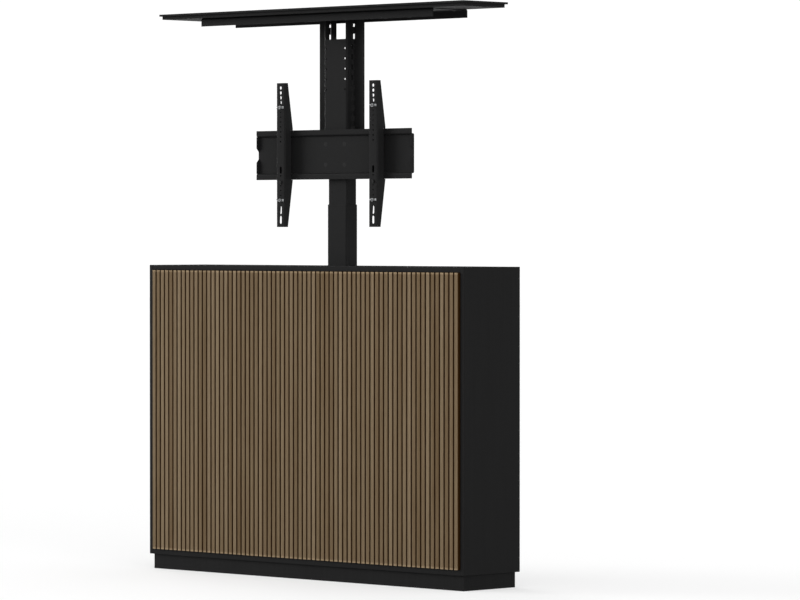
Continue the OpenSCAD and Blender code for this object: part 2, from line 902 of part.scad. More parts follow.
// The crossbar: a folded sheet, its web set back behind two lips, with a notched flap at each end
module crossbar() {
    lip_mid = bar_y + bar_t / 2;
    web_mid = crown_y - bar_t / 2;
    step = bar_h / 2 - bar_lip_h + bar_t / 2;
    color(steel_black) difference() {
        union() {
            translate([0, 0, bar_z]) along_x(bar_w)
                folded_sheet([
                    [lip_mid, bar_h / 2], [lip_mid, step], [web_mid, step],
                    [web_mid, -step], [lip_mid, -step], [lip_mid, -bar_h / 2]
                ], bar_t, bar_bend);
            for (x = [-1, 1]) {
                translate([x * (bar_w - bar_t) / 2, 0, bar_z]) along_x(bar_t) bar_flap(step - bar_t / 2);
            }
        }
        bar_screw_places() {
            sunk_screw(bar_screw_d + 2 * fit_gap, bar_screw_head + 2 * fit_gap, bar_t, bar_t + over);
        }
    }
}

module bar_flap(reach) {
    root = crown_y - bar_t / 2;
    polygon([
        [root, -reach], [bar_y, -reach], [bar_y, -notch_mouth / 2], [root - bar_t / 2, -notch_floor / 2],
        [root - bar_t / 2, notch_floor / 2], [bar_y, notch_mouth / 2], [bar_y, reach], [root, reach]
    ]);
}

module crossbar_screws() {
    color(steel_black) bar_screw_places() sunk_screw(bar_screw_d, bar_screw_head, bar_t, bar_t + mast_t);
}

// Lid and its bracket

module lid_screw_places() {
    span = bracket_len / 2 - lid_screw_inset;
    for (x = [-1, 1], i = [1 : lid_screw_columns - 1], y = [lid_screw_inset, bracket_d - lid_screw_inset]) {
        translate([x * span * i / (lid_screw_columns - 1), front_y + bracket_setback + y, bracket_web_z])
            children();
    }
}

// The lid's bracket: a long folded channel, open below
module lid_bracket() {
    low = front_y + bracket_setback + bracket_t / 2;
    high = low + bracket_d - bracket_t;
    web = bracket_t / -2;
    color(steel_black) difference() {
        translate([0, 0, bracket_top]) along_x(bracket_len)
            folded_sheet([
                [low, -bracket_h], [low, web], [high, web], [high, -bracket_h]
            ], bracket_t, mast_bend);
        mast_bolt_places() bolt_hole(mast_bolt_d, mast_bolt_len);
        lid_screw_places() bolt_hole(lid_screw_d, lid_screw_len);
    }
}

module lid_screws() {
    color(zinc) lid_screw_places() bolt(lid_screw_d, lid_screw_head, 2.4, lid_screw_len);
}

module lid_panel() {
    core_t = lid_t - lid_lip_t;
    color(board_black) difference() {
        union() {
            block(lid_w, lid_d, lid_lip_t, lid_y, lid_top - lid_lip_t);
            block(lid_w - 2 * lid_lip_w, lid_d - 2 * lid_lip_w, core_t, lid_y + lid_lip_w, lid_bottom);
        }
        mast_bolt_places() bolt_hole(mast_bolt_d, mast_bolt_len);
        lid_screw_places() bolt_hole(lid_screw_d, lid_screw_len);
    }
}

// Screen arms

// Side view of an arm: Y back from its face and Z up from its foot, with a hook over the crossbar
module arm_side(low, high) {
    polygon(concat([[0, 0]], low, [
        [arm_seat_d, arm_bar_bottom - run_gap], [arm_seat_d, arm_bar_top + run_gap],
        [arm_lip_back, arm_bar_top + run_gap], [arm_lip_back, arm_bar_top - arm_hook_drop],
        [arm_hook_d, arm_bar_top - arm_hook_drop], [arm_hook_d, arm_bar_top + arm_hook_wall]
    ], high, [[0, arm_h]]));
}

// The right flange tapers from the crossbar to both ends
module arm_right_side() {
    arm_side([[arm_tip_d, 0], [arm_hook_d, arm_bar_bottom - run_gap]], [[arm_tip_d, arm_h]]);
}

// The left flange is shallower, so that the rows of holes stay open
module arm_left_side() {
    shoulder = arm_bar_top + arm_hook_wall + arm_hook_d - arm_inner_d;
    arm_side(
        [[arm_inner_tip, 0], [arm_inner_d, arm_inner_run], [arm_inner_d, arm_bar_bottom - run_gap]],
        [[arm_inner_d, shoulder], [arm_inner_d, arm_h - arm_inner_run], [arm_inner_tip, arm_h]]
    );
}

module arm_holes() {
    for (i = [0 : arm_top_slots - 1]) {
        arm_hole_at(arm_h - arm_top_first - i * arm_pitch)
            upright_slot(arm_slot_w, arm_short_slot, 4 * arm_t);
    }
    for (i = [1 : arm_top_holes]) {
        arm_hole_at(screen_high - i * arm_pitch) round_hole(arm_hole_d);
    }
    for (i = [0 : arm_low_slots - 1]) {
        arm_hole_at(arm_low_first + 2 * i * arm_pitch) upright_slot(arm_slot_w, arm_long_slot, 4 * arm_t);
    }
    for (i = arm_low_holes) {
        arm_hole_at(screen_low + i * arm_pitch) round_hole(arm_hole_d);
    }
    arm_hole_at(screen_low + arm_pitch * arm_mid_row + arm_mid_shift)
        upright_slot(arm_slot_w, arm_mid_slot, 4 * arm_t);
    for (z = screen_z) {
        arm_hole_at(z) round_hole(screw_d + 2 * run_gap);
    }
}

module arm_hole_at(z) {
    translate([0, arm_t / 2, z]) children();
}

module round_hole(d) {
    rotate([90, 0, 0]) cylinder(d = d, h = 4 * arm_t, center = true);
}

module latch_screw_place() {
    translate([0, 0, arm_bar_bottom - latch_h / 2]) rotate([-90, 0, 0]) children();
}

// Where an arm stands: side -1 for the left arm and 1 for the right one
module arm_place(side) {
    translate([side * arm_spacing / 2, arm_y, arm_z]) children();
}

// One arm: a folded channel. Both arms are the same piece.
module arm(side) {
    edge = (arm_w - arm_t) / 2;
    color(steel_black) arm_place(side) difference() {
        intersection() {
            linear_extrude(height = arm_h)
                folded_sheet([
                    [-edge, arm_hook_d + over], [-edge, arm_t / 2],
                    [edge, arm_t / 2], [edge, arm_hook_d + over]
                ], arm_t, arm_bend);
            union() {
                translate([arm_w / 4, 0, 0]) along_x(arm_w / 2 + over) arm_right_side();
                translate([arm_w / -4, 0, 0]) along_x(arm_w / 2 + over) arm_left_side();
            }
        }
        arm_holes();
        latch_screw_place() cylinder(d = latch_screw_d + 2 * fit_gap, h = 2 * (arm_t + over), center = true);
    }
}

// The latch between the arm's flanges, whose leg stands behind the crossbar's lower lip
module latch(side) {
    low = arm_bar_bottom - latch_h;
    high = arm_bar_bottom - run_gap;
    color(zinc) arm_place(side) difference() {
        along_x(arm_w - 2 * arm_t - 2 * arm_bend)
            polygon([
                [arm_t, low], [arm_hook_d, low], [arm_hook_d, arm_bar_bottom + latch_leg],
                [arm_lip_back, arm_bar_bottom + latch_leg], [arm_lip_back, high], [arm_t, high]
            ]);
        latch_screw_place() bolt_hole(latch_screw_d, arm_t + latch_screw_len);
    }
}

module latch_screws(side) {
    color(steel_black) arm_place(side) latch_screw_place()
        bolt(latch_screw_d, 11, 3, arm_t + latch_screw_len);
}

module screen_screw_places(side) {
    arm_place(side) for (z = screen_z) {
        translate([0, 0, z]) rotate([90, 0, 0]) children();
    }
}

// A screen screw: its head lies behind the arm's face, its core runs through the nut,
// and its thread points forward
module screen_screws(side) {
    color(zinc) screen_screw_places(side) {
        translate([0, 0, -arm_t]) bolt(screw_core_d, screw_head_d, screw_head_h, arm_t + screw_reach, 6);
        translate([0, 0, screw_nut_top]) cylinder(d = screw_d, h = screw_reach - screw_nut_top);
    }
}

// The plate and the nut that clamp a screen screw on the arm's face
module screen_plates(side) {
    color(steel_black) screen_screw_places(side) difference() {
        union() {
            translate([-screw_plate_w / 2, -screw_plate_h / 2, 0])
                cube([screw_plate_w, screw_plate_h, screw_plate_t]);
            translate([0, 0, screw_plate_t / 2]) cylinder(d = screw_nut_d, h = screw_nut_h, $fn = 6);
        }
        bolt_hole(screw_core_d, screw_plate_t + screw_nut_h);
    }
}

side_panel(-1);  // side_panel_left
side_panel(1);  // side_panel_right
bottom_board();
top_rail_front();
top_rail_back();
top_rail_side(-1);  // top_rail_left
top_rail_side(1);  // top_rail_right
plinth_long(front_y + plinth_inset);  // plinth_front
plinth_long(back_y - plinth_inset - board_t);  // plinth_back
plinth_side(-1);  // plinth_left
plinth_side(1);  // plinth_right
front_board();
front_slats();
stretcher_rail();
back_panel(-1);  // back_panel_left
back_panel(1);  // back_panel_right
service_panel();
service_screws();
cable_grommet();
column_base_plate();
base_bolts();
column_outer_tube();
outer_collar();
column_saddle();
saddle_screws();
gearbox_housing();
lift_motor();
controller_case();
controller_cover();
mains_inlet();
drive_spindle();
column_middle_tube();
middle_collar();
middle_glide();
middle_nut();
hollow_spindle();
column_inner_tube();
inner_glide();
inner_nut();
column_head();
head_bolts();
mast_channel();
mast_back_plate();
mast_top_plate();
mast_bolts();
crossbar();
crossbar_screws();
lid_bracket();
lid_screws();
lid_panel();
arm(-1);  // arm_left
arm(1);  // arm_right
latch(-1);  // latch_left
latch(1);  // latch_right
latch_screws(-1);  // latch_screws_left
latch_screws(1);  // latch_screws_right
screen_screws(-1);  // screen_screws_left
screen_screws(1);  // screen_screws_right
screen_plates(-1);  // screen_plates_left
screen_plates(1);  // screen_plates_right
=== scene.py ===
import json
from math import atan2, radians

import bmesh
import bpy
from bpy.props import FloatProperty, FloatVectorProperty, IntProperty, PointerProperty
from mathutils import Matrix, Vector

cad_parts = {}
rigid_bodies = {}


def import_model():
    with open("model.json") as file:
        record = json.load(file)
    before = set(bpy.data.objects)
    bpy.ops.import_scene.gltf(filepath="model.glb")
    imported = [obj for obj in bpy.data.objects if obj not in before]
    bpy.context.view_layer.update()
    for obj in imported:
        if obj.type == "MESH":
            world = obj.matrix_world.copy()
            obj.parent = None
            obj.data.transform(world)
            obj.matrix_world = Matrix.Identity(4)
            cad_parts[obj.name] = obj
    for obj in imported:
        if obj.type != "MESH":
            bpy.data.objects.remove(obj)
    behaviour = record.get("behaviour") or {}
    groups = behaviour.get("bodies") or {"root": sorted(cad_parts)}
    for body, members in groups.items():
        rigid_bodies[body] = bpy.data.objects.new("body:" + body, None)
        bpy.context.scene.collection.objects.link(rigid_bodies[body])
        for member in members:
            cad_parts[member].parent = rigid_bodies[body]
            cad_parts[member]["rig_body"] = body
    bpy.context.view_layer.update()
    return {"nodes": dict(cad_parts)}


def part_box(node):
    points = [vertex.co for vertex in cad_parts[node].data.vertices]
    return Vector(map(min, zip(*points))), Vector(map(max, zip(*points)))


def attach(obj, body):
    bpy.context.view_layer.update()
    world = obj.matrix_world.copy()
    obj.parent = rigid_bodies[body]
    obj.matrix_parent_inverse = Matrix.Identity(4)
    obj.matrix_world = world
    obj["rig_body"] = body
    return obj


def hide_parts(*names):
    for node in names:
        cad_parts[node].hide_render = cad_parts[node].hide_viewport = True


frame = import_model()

bl_info = {
    "name": "TV Lift Cabinet",
    "version": (1, 0, 0),
    "blender": (4, 5, 0),
    "location": "3D View > Sidebar > Lift Cabinet",
    "description": "Dresses the slatted lift cabinet, its column, its screen mount and the stage",
    "category": "Object",
}

MM = 0.001

SLAT_COUNT = 69
SLAT_GAP = 6.0 * MM
# Depth behind the slats' front over which painted shade darkens their flanks towards the backing's colour.
SLAT_FLANK_SHADE_DEPTH = 2.5 * MM
# Painted highlight: length and strength of the pale band at each slat's ends, standing in for light caught
# on the end bevels.
SLAT_GLINT_LENGTH = 7.0 * MM
SLAT_GLINT_SHARE = 0.5

BACK_EDGE = 0.4
PLASTIC_EDGE = 0.3
CASTING_EDGE = 1.0
BOLT_EDGE = 0.25
SCREW_EDGE = 0.2

SLAT_GLOSS = 0.08
BOARD_GLOSS = 0.06
STEEL_GLOSS = 0.035

FLOOR_RADIUS = 60.0
FLOOR_TONE = 0.42
BACKDROP_TONE = 1.05

BOARDS = (
    "side_panel_left", "side_panel_right", "bottom_board", "top_rail_front", "top_rail_back",
    "top_rail_left", "top_rail_right", "plinth_front", "plinth_back", "plinth_left", "plinth_right",
    "stretcher_rail",
)
BACKS = ("back_panel_left", "back_panel_right", "service_panel")
TUBES = ("column_outer_tube", "column_middle_tube", "column_inner_tube")
COLLARS = ("outer_collar", "middle_collar")
HIDDEN_PLASTIC = ("middle_glide", "inner_glide", "middle_nut", "inner_nut")
SHEETS = ("column_base_plate", "column_saddle", "column_head", "mast_channel", "mast_back_plate",
          "mast_top_plate", "crossbar", "lid_bracket")
BRIGHT_BOLTS = ("base_bolts", "saddle_screws", "mast_bolts")
BLACK_BOLTS = ("service_screws", "head_bolts", "crossbar_screws")
SPINDLES = ("drive_spindle", "hollow_spindle")
SIDES = ("left", "right")


# Shader node groups

class Graph:
    """Adds and joins the nodes of one node tree."""

    def __init__(self, tree):
        self.tree = tree
        self.column = 0

    def add(self, kind, inputs=None, **settings):
        node = self.tree.nodes.new(kind)
        self.column += 1
        node.location = (self.column % 12 * 180, -(self.column // 12) * 260)
        for name, value in settings.items():
            setattr(node, name, value)
        for name, value in (inputs or {}).items():
            if isinstance(value, bpy.types.NodeSocket):
                self.tree.links.new(value, node.inputs[name])
            else:
                node.inputs[name].default_value = value
        return node

    def math(self, operation, a, b=0.0, clamp=False):
        return self.add("ShaderNodeMath", {0: a, 1: b}, operation=operation, use_clamp=clamp).outputs[0]

    def vector(self, operation, a, b):
        return self.add("ShaderNodeVectorMath", {0: a, 1: b}, operation=operation).outputs[0]

    def noise(self, vector, scale, detail=2.0, roughness=0.5):
        return self.add("ShaderNodeTexNoise", {"Vector": vector, "Scale": scale, "Detail": detail,
                                               "Roughness": roughness}).outputs["Fac"]

    def spread(self, value, low, high):
        """The value, from 0.25 to 0.75, spread over low to high."""
        return self.add("ShaderNodeMapRange", {"Value": value, "From Min": 0.25, "From Max": 0.75,
                                               "To Min": low, "To Max": high}).outputs[0]

    def mix(self, factor, a, b):
        node = self.add("ShaderNodeMix", data_type="RGBA")
        for socket, value in ((node.inputs[0], factor), (node.inputs[6], a), (node.inputs[7], b)):
            if isinstance(value, bpy.types.NodeSocket):
                self.tree.links.new(value, socket)
            else:
                socket.default_value = value
        return node.outputs[2]


def new_group(name, inputs, outputs):
    """A shader node group with those sockets, and the graph, input and output nodes to fill it."""
    tree = bpy.data.node_groups.new(name, "ShaderNodeTree")
    for label, kind, value in inputs:
        socket = tree.interface.new_socket(label, in_out="INPUT", socket_type="NodeSocket" + kind)
        if value is not None:
            socket.default_value = value
    for label, kind in outputs:
        tree.interface.new_socket(label, in_out="OUTPUT", socket_type="NodeSocket" + kind)
    return Graph(tree), tree.nodes.new("NodeGroupInput"), tree.nodes.new("NodeGroupOutput")


def wood_grain_group():
    """Long grain with pores: a tone, a pore mask and a height, for wood whose grain runs upright."""
    graph, given, out = new_group(
        "Wood grain",
        [("Vector", "Vector", None), ("Figure", "Float", 1.0)],
        [("Tone", "Float"), ("Pores", "Float"), ("Height", "Float")])
    place = given.outputs["Vector"]
    broad = graph.noise(graph.vector("MULTIPLY", place, (90.0, 90.0, 2.2)), 1.0, 3.0, 0.55)
    streaks = graph.noise(graph.vector("MULTIPLY", place, (900.0, 900.0, 9.0)), 1.0, 3.0, 0.6)
    fibres = graph.noise(graph.vector("MULTIPLY", place, (2600.0, 2600.0, 70.0)), 1.0, 2.0, 0.6)
    tone = graph.math("ADD", graph.math("MULTIPLY", broad, 0.45), graph.math("MULTIPLY", streaks, 0.55))
    tone = graph.math("MULTIPLY_ADD", graph.math("SUBTRACT", tone, 0.5), given.outputs["Figure"])
    tone.node.inputs[2].default_value = 0.5
    pores = graph.add("ShaderNodeMapRange", {"Value": fibres, "From Min": 0.36, "From Max": 0.46,
                                             "To Min": 1.0, "To Max": 0.0}).outputs[0]
    height = graph.math("SUBTRACT", streaks, graph.math("MULTIPLY", pores, 0.6))
    for label, value in (("Tone", tone), ("Pores", pores), ("Height", height)):
        graph.tree.links.new(value, out.inputs[label])
    return graph.tree


def fine_texture_group():
    """The fine grain of a coated or moulded surface: a tone and a height."""
    graph, given, out = new_group(
        "Fine texture",
        [("Vector", "Vector", None), ("Scale", "Float", 1500.0), ("Cloud Scale", "Float", 14.0)],
        [("Tone", "Float"), ("Height", "Float")])
    place = given.outputs["Vector"]
    grain = graph.noise(place, given.outputs["Scale"], 2.0, 0.6)
    cloud = graph.noise(place, given.outputs["Cloud Scale"], 2.0, 0.5)
    tone = graph.math("ADD", graph.math("MULTIPLY", grain, 0.6), graph.math("MULTIPLY", cloud, 0.4))
    graph.tree.links.new(tone, out.inputs["Tone"])
    graph.tree.links.new(grain, out.inputs["Height"])
    return graph.tree


# Materials

def start_material(name, metallic=0.0, gloss=0.5):
    """A new material: its graph, its Principled BSDF and its Object coordinates."""
    material = bpy.data.materials.new(name)
    material.use_nodes = True
    graph = Graph(material.node_tree)
    shader = material.node_tree.nodes["Principled BSDF"]
    shader.inputs["Metallic"].default_value = metallic
    shader.inputs["Specular IOR Level"].default_value = gloss
    place = graph.add("ShaderNodeTexCoord").outputs["Object"]
    return material, graph, shader, place


def finish_surface(graph, shader, colour, roughness, height, relief):
    """Joins a colour, a roughness and a relief in metres to the shader."""
    links = graph.tree.links
    links.new(colour, shader.inputs["Base Color"])
    links.new(roughness, shader.inputs["Roughness"])
    bump = graph.add("ShaderNodeBump", {"Height": height, "Strength": 1.0, "Distance": relief})
    links.new(bump.outputs["Normal"], shader.inputs["Normal"])


def shade(colour, factor):
    """The colour made lighter or darker by a factor, without passing white."""
    return tuple(min(1.0, channel * factor) for channel in colour[:3]) + (1.0,)


def textured_material(name, colour, roughness, scale, relief, contrast=0.16, metallic=0.0,
                      gloss=BOARD_GLOSS):
    """A coated, moulded or cast surface with a fine grain and a faint cloudy change of tone."""
    material, graph, shader, place = start_material(name, metallic, gloss)
    texture = graph.add("ShaderNodeGroup", node_tree=bpy.data.node_groups["Fine texture"])
    graph.tree.links.new(place, texture.inputs["Vector"])
    texture.inputs["Scale"].default_value = scale
    factor = graph.spread(texture.outputs["Tone"], 0.0, 1.0)
    tint = graph.mix(factor, shade(colour, 1 - contrast), shade(colour, 1 + contrast))
    rough = graph.spread(texture.outputs["Tone"], roughness - 0.06, roughness + 0.06)
    finish_surface(graph, shader, tint, rough, texture.outputs["Height"], relief)
    return material


def laminate_material(name, colour, roughness):
    """Black board: a laminate with a faint upright grain under a satin face."""
    material, graph, shader, place = start_material(name, gloss=BOARD_GLOSS)
    grain = graph.add("ShaderNodeGroup", node_tree=bpy.data.node_groups["Wood grain"])
    graph.tree.links.new(place, grain.inputs["Vector"])
    grain.inputs["Figure"].default_value = 0.8
    factor = graph.spread(grain.outputs["Tone"], 0.0, 1.0)
    tint = graph.mix(factor, shade(colour, 0.86), shade(colour, 1.14))
    rough = graph.spread(grain.outputs["Tone"], roughness + 0.05, roughness - 0.05)
    finish_surface(graph, shader, tint, rough, grain.outputs["Height"], 0.00002)
    return material


def slat_material(name, tones, low, high, pitch):
    """Brown veneer whose grain and tone start anew on each slat, with painted shade on the flanks and
    painted highlights on the ends.
    """
    light, dark, flank_shade = tones
    roughness = 0.62
    material, graph, shader, place = start_material(name, gloss=SLAT_GLOSS)
    axes = graph.add("ShaderNodeSeparateXYZ", {0: place})
    along = graph.math("SUBTRACT", axes.outputs["X"], low.x - SLAT_GAP / 2)
    count = graph.math("FLOOR", graph.math("DIVIDE", along, pitch))
    cast = graph.add("ShaderNodeTexWhiteNoise", {"W": count}, noise_dimensions="1D")
    jump = graph.vector("MULTIPLY", cast.outputs["Color"], (3.0, 3.0, 9.0))
    grain = graph.add("ShaderNodeGroup", node_tree=bpy.data.node_groups["Wood grain"])
    graph.tree.links.new(graph.vector("ADD", place, jump), grain.inputs["Vector"])
    tone = graph.math("ADD", grain.outputs["Tone"],
                      graph.math("MULTIPLY", graph.math("SUBTRACT", cast.outputs["Value"], 0.5), 0.30))
    tint = graph.mix(graph.spread(tone, 0.0, 1.0), dark, light)
    pored = graph.mix(graph.math("MULTIPLY", grain.outputs["Pores"], 0.35), tint, shade(dark, 0.55))
    # Painted shade: the flanks darken towards the backing's colour just behind the front, standing in for
    # the shade in the grooves.
    flank_shade_mask = graph.add("ShaderNodeMapRange", {"Value": axes.outputs["Y"], "From Min": low.y,
                                             "From Max": low.y + SLAT_FLANK_SHADE_DEPTH}).outputs[0]
    # Painted highlight: both ends of each slat turn pale, standing in for light caught on the end bevels.
    half = (high.z - low.z) / 2
    away = graph.math("ABSOLUTE", graph.math("SUBTRACT", axes.outputs["Z"], low.z + half))
    end_glint_mask = graph.add("ShaderNodeMapRange", {"Value": away, "From Min": half - SLAT_GLINT_LENGTH,
                                           "From Max": half, "To Max": SLAT_GLINT_SHARE}).outputs[0]
    end_glinted = graph.mix(end_glint_mask, pored, shade(light, 2.2))
    flank_shaded = graph.mix(flank_shade_mask, end_glinted, flank_shade)
    rough = graph.spread(tone, roughness + 0.06, roughness - 0.06)
    finish_surface(graph, shader, flank_shaded, rough, grain.outputs["Height"], 0.00012)
    return material


def plated_material(name, colour, roughness):
    """Bright zinc plate: a metal with a faint drawn streak and a cloudy gloss."""
    material, graph, shader, place = start_material(name, 1.0)
    streak = graph.noise(graph.vector("MULTIPLY", place, (400.0, 2500.0, 400.0)), 1.0, 2.0, 0.5)
    cloud = graph.noise(place, 160.0, 2.0, 0.5)
    tint = graph.mix(graph.spread(cloud, 0.0, 1.0), shade(colour, 0.85), shade(colour, 1.1))
    rough = graph.spread(graph.math("MULTIPLY", graph.math("ADD", streak, cloud), 0.5),
                         roughness - 0.08, roughness + 0.1)
    finish_surface(graph, shader, tint, rough, streak, 0.00001)
    return material


# Pieces

def dress(node, material):
    """Gives a CAD node that keeps its own mesh a material."""
    piece = frame["nodes"][node]
    piece.data.materials.clear()
    piece.data.materials.append(material)


def eased(node, material, width, segments=2, corner=28.0):
    """A copy of a CAD node with its corners eased, which stands for the node."""
    source = frame["nodes"][node]
    shape = bmesh.new()
    shape.from_mesh(source.data)
    bmesh.ops.remove_doubles(shape, verts=shape.verts, dist=0.004 * MM)
    bmesh.ops.dissolve_limit(shape, angle_limit=radians(0.6), verts=shape.verts, edges=shape.edges,
                             delimit={"NORMAL"})
    sharp = [edge for edge in shape.edges
             if len(edge.link_faces) == 2 and edge.calc_face_angle(0.0) > radians(corner)]
    bmesh.ops.bevel(shape, geom=sharp, offset=width * MM, offset_type="OFFSET", affect="EDGES",
                    segments=segments, profile=0.5, material=-1, clamp_overlap=True)
    bmesh.ops.triangulate(shape, faces=[face for face in shape.faces if len(face.verts) > 4])
    mesh = bpy.data.meshes.new(node + "_eased")
    shape.to_mesh(mesh)
    shape.free()
    return place_piece(mesh, node + "_eased", node, material)


def place_piece(mesh, name, node, material):
    """Makes an object of a mesh that stands for a CAD node and rides on the node's body."""
    mesh.materials.clear()
    mesh.materials.append(material)
    mesh.shade_smooth()
    mesh.set_sharp_from_angle(angle=radians(32))
    piece = bpy.data.objects.new(name, mesh)
    bpy.context.scene.collection.objects.link(piece)
    even = piece.modifiers.new("Even normals", "WEIGHTED_NORMAL")
    even.keep_sharp = True
    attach(piece, frame["nodes"][node]["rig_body"])
    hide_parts(node)
    return piece


def add_box(shape, low, high):
    """Adds an upright box between two corners to a bmesh."""
    size = high - low
    turn = Matrix.Translation((low + high) / 2) @ Matrix.Diagonal(size.to_4d())
    bmesh.ops.create_cube(shape, size=1.0, matrix=turn)


def add_slot_shade_strips(material):
    """Dark strips on the front of the head's posts, put there as painted shade that darkens the mast's
    slots from behind.
    """
    head_low, head_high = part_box("column_head")
    plate_low, plate_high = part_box("mast_back_plate")
    inner = head_high.x - 7.9 * MM
    outer = head_high.x - 3.2 * MM
    front = plate_low.y + 0.6 * MM
    back = plate_low.y + 3.0 * MM
    bottom = head_low.z + 5.0 * MM
    top = plate_low.z - 0.5 * MM
    shape = bmesh.new()
    for side in (-1, 1):
        left, right = sorted((side * inner, side * outer))
        add_box(shape, Vector((left, front, bottom)), Vector((right, back, top)))
    mesh = bpy.data.meshes.new("slot_shade_strips")
    shape.to_mesh(mesh)
    shape.free()
    mesh.materials.append(material)
    shade_strips = bpy.data.objects.new("slot_shade_strips", mesh)
    bpy.context.scene.collection.objects.link(shade_strips)
    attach(shade_strips, frame["nodes"]["column_head"]["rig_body"])


# Settings

def colour_setting(name, description, default):
    """A colour property of the finishes."""
    return FloatVectorProperty(name=name, description=description, default=default, size=4, min=0.0,
                               max=1.0, subtype="COLOR")


class LiftCabinetFinishes(bpy.types.PropertyGroup):
    board: colour_setting("Board", "Colour of the black boards", (0.0078, 0.0078, 0.0079, 1.0))
    back: colour_setting("Back", "Colour of the back panels", (0.018, 0.017, 0.016, 1.0))
    slat_light: colour_setting("Slat light", "Light tone of the slats' veneer", (0.246, 0.181, 0.110, 1.0))
    slat_dark: colour_setting("Slat dark", "Dark tone of the slats' veneer", (0.121, 0.077, 0.037, 1.0))
    # The backing colour is also painted on the slats' flanks as shade.
    backing: colour_setting("Backing", "Colour of the board behind the slats", (0.026, 0.010, 0.0008, 1.0))
    steel: colour_setting("Steel", "Colour of the powder coated steel", (0.0118, 0.0118, 0.0120, 1.0))
    plastic: colour_setting("Plastic", "Colour of the moulded plastic", (0.008, 0.008, 0.008, 1.0))
    zinc: colour_setting("Zinc", "Colour of the zinc plated screws", (0.72, 0.73, 0.74, 1.0))
    casting: colour_setting("Casting", "Colour of the cast gearbox", (0.2, 0.205, 0.21, 1.0))
    board_edge: FloatProperty(
        name="Board edge", description="Width of the eased edges of the boards, in millimetres",
        default=1.2, min=0.2, max=4.0)
    sheet_edge: FloatProperty(
        name="Sheet edge", description="Width of the eased edges of the sheet steel, in millimetres",
        default=0.35, min=0.1, max=1.0)
    segments: IntProperty(
        name="Edge steps", description="Number of steps round an eased edge", default=2, min=1, max=6)


def light_setting(name, description, default):
    """A strength property of the stage's lights."""
    return FloatProperty(name=name, description=description, default=default, min=0.0, max=20.0)


class LiftCabinetStage(bpy.types.PropertyGroup):
    lens: FloatProperty(
        name="Lens", description="Focal length of the camera",
        default=207.38, min=20.0, max=400.0, subtype="DISTANCE_CAMERA")
    eye: FloatVectorProperty(
        name="Camera", description="Place of the camera",
        default=(9.9764, -9.8679, 1.0560), size=3, subtype="TRANSLATION", unit="LENGTH")
    heading: FloatProperty(
        name="Heading", description="Direction that the camera faces, anticlockwise from +X",
        default=atan2(0.7141, -0.7000), subtype="ANGLE")
    dip: FloatProperty(
        name="Dip", description="Angle that the camera looks down",
        default=radians(0.8586), subtype="ANGLE")
    sky: light_setting("Sky", "Strength of the light from all round", 0.35)
    key: light_setting("Key light", "Strength of the soft light from the front left", 1.6)
    fill: light_setting("Fill light", "Strength of the soft light from the right", 2.7)
    back: light_setting("Back light", "Strength of the soft light from behind on the left", 2.0)
    top: light_setting("Top light", "Strength of the soft light from above", 1.5)
    floor_glow: FloatProperty(
        name="Floor glow", description="Light that the camera sees on the floor besides the lamps'",
        default=0.51, min=0.0, max=1.0)


def finishes():
    """The scene's finish settings."""
    return bpy.context.scene.lift_cabinet_finishes


# Operators

class DressStep(bpy.types.Operator):
    """One step of dressing the cabinet"""
    bl_options = {"REGISTER", "UNDO"}

    def execute(self, context):
        self.make(finishes())
        return {"FINISHED"}


class LIFTCABINET_OT_surfaces(DressStep):
    """Makes the node groups that the materials share"""
    bl_idname = "lift_cabinet.surfaces"
    bl_label = "Shared Surface Effects"

    def make(self, look):
        wood_grain_group()
        fine_texture_group()


class LIFTCABINET_OT_boards(DressStep):
    """Eases and finishes the cabinet's boards, its rim and its plinth"""
    bl_idname = "lift_cabinet.boards"
    bl_label = "Boards"

    def make(self, look):
        laminate = laminate_material("Black laminate", look.board, 0.62)
        for node in BOARDS:
            eased(node, laminate, look.board_edge, look.segments)
        eased("lid_panel", laminate, look.board_edge / 2, look.segments)


class LIFTCABINET_OT_slats(DressStep):
    """Finishes the row of slats and the board that carries them"""
    bl_idname = "lift_cabinet.slats"
    bl_label = "Slatted Front"

    def make(self, look):
        low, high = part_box("front_slats")
        pitch = (high.x - low.x + SLAT_GAP) / SLAT_COUNT
        # The backing's colour also serves as the painted shade on the slats' flanks.
        tones = (look.slat_light, look.slat_dark, look.backing)
        veneer = slat_material("Brown veneer", tones, low, high, pitch)
        dress("front_slats", veneer)
        dress("front_board", textured_material("Backing board", look.backing, 0.8, 900.0, 0.00005))


class LIFTCABINET_OT_backs(DressStep):
    """Finishes the back panels, the service panel and its fittings"""
    bl_idname = "lift_cabinet.backs"
    bl_label = "Back Panels"

    def make(self, look):
        board = textured_material("Back board", look.back, 0.68, 700.0, 0.00006)
        for node in BACKS:
            eased(node, board, BACK_EDGE, look.segments)
        plastic = textured_material("Moulded plastic", look.plastic, 0.5, 1800.0, 0.00003)
        for node in ("cable_grommet", "controller_case", "mains_inlet") + COLLARS + HIDDEN_PLASTIC:
            eased(node, plastic, PLASTIC_EDGE, look.segments)


class LIFTCABINET_OT_column(DressStep):
    """Finishes the three tubes of the column, its drive and the controller's cover"""
    bl_idname = "lift_cabinet.column"
    bl_label = "Lifting Column"

    def make(self, look):
        steel = textured_material("Satin column coat", look.steel, 0.42, 1400.0, 0.00002,
                                  gloss=STEEL_GLOSS)
        for node in TUBES + ("lift_motor", "controller_cover"):
            eased(node, steel, look.sheet_edge, look.segments)
        casting = textured_material("Cast housing", look.casting, 0.55, 600.0, 0.00012, 0.12, 0.8)
        eased("gearbox_housing", casting, CASTING_EDGE, look.segments)


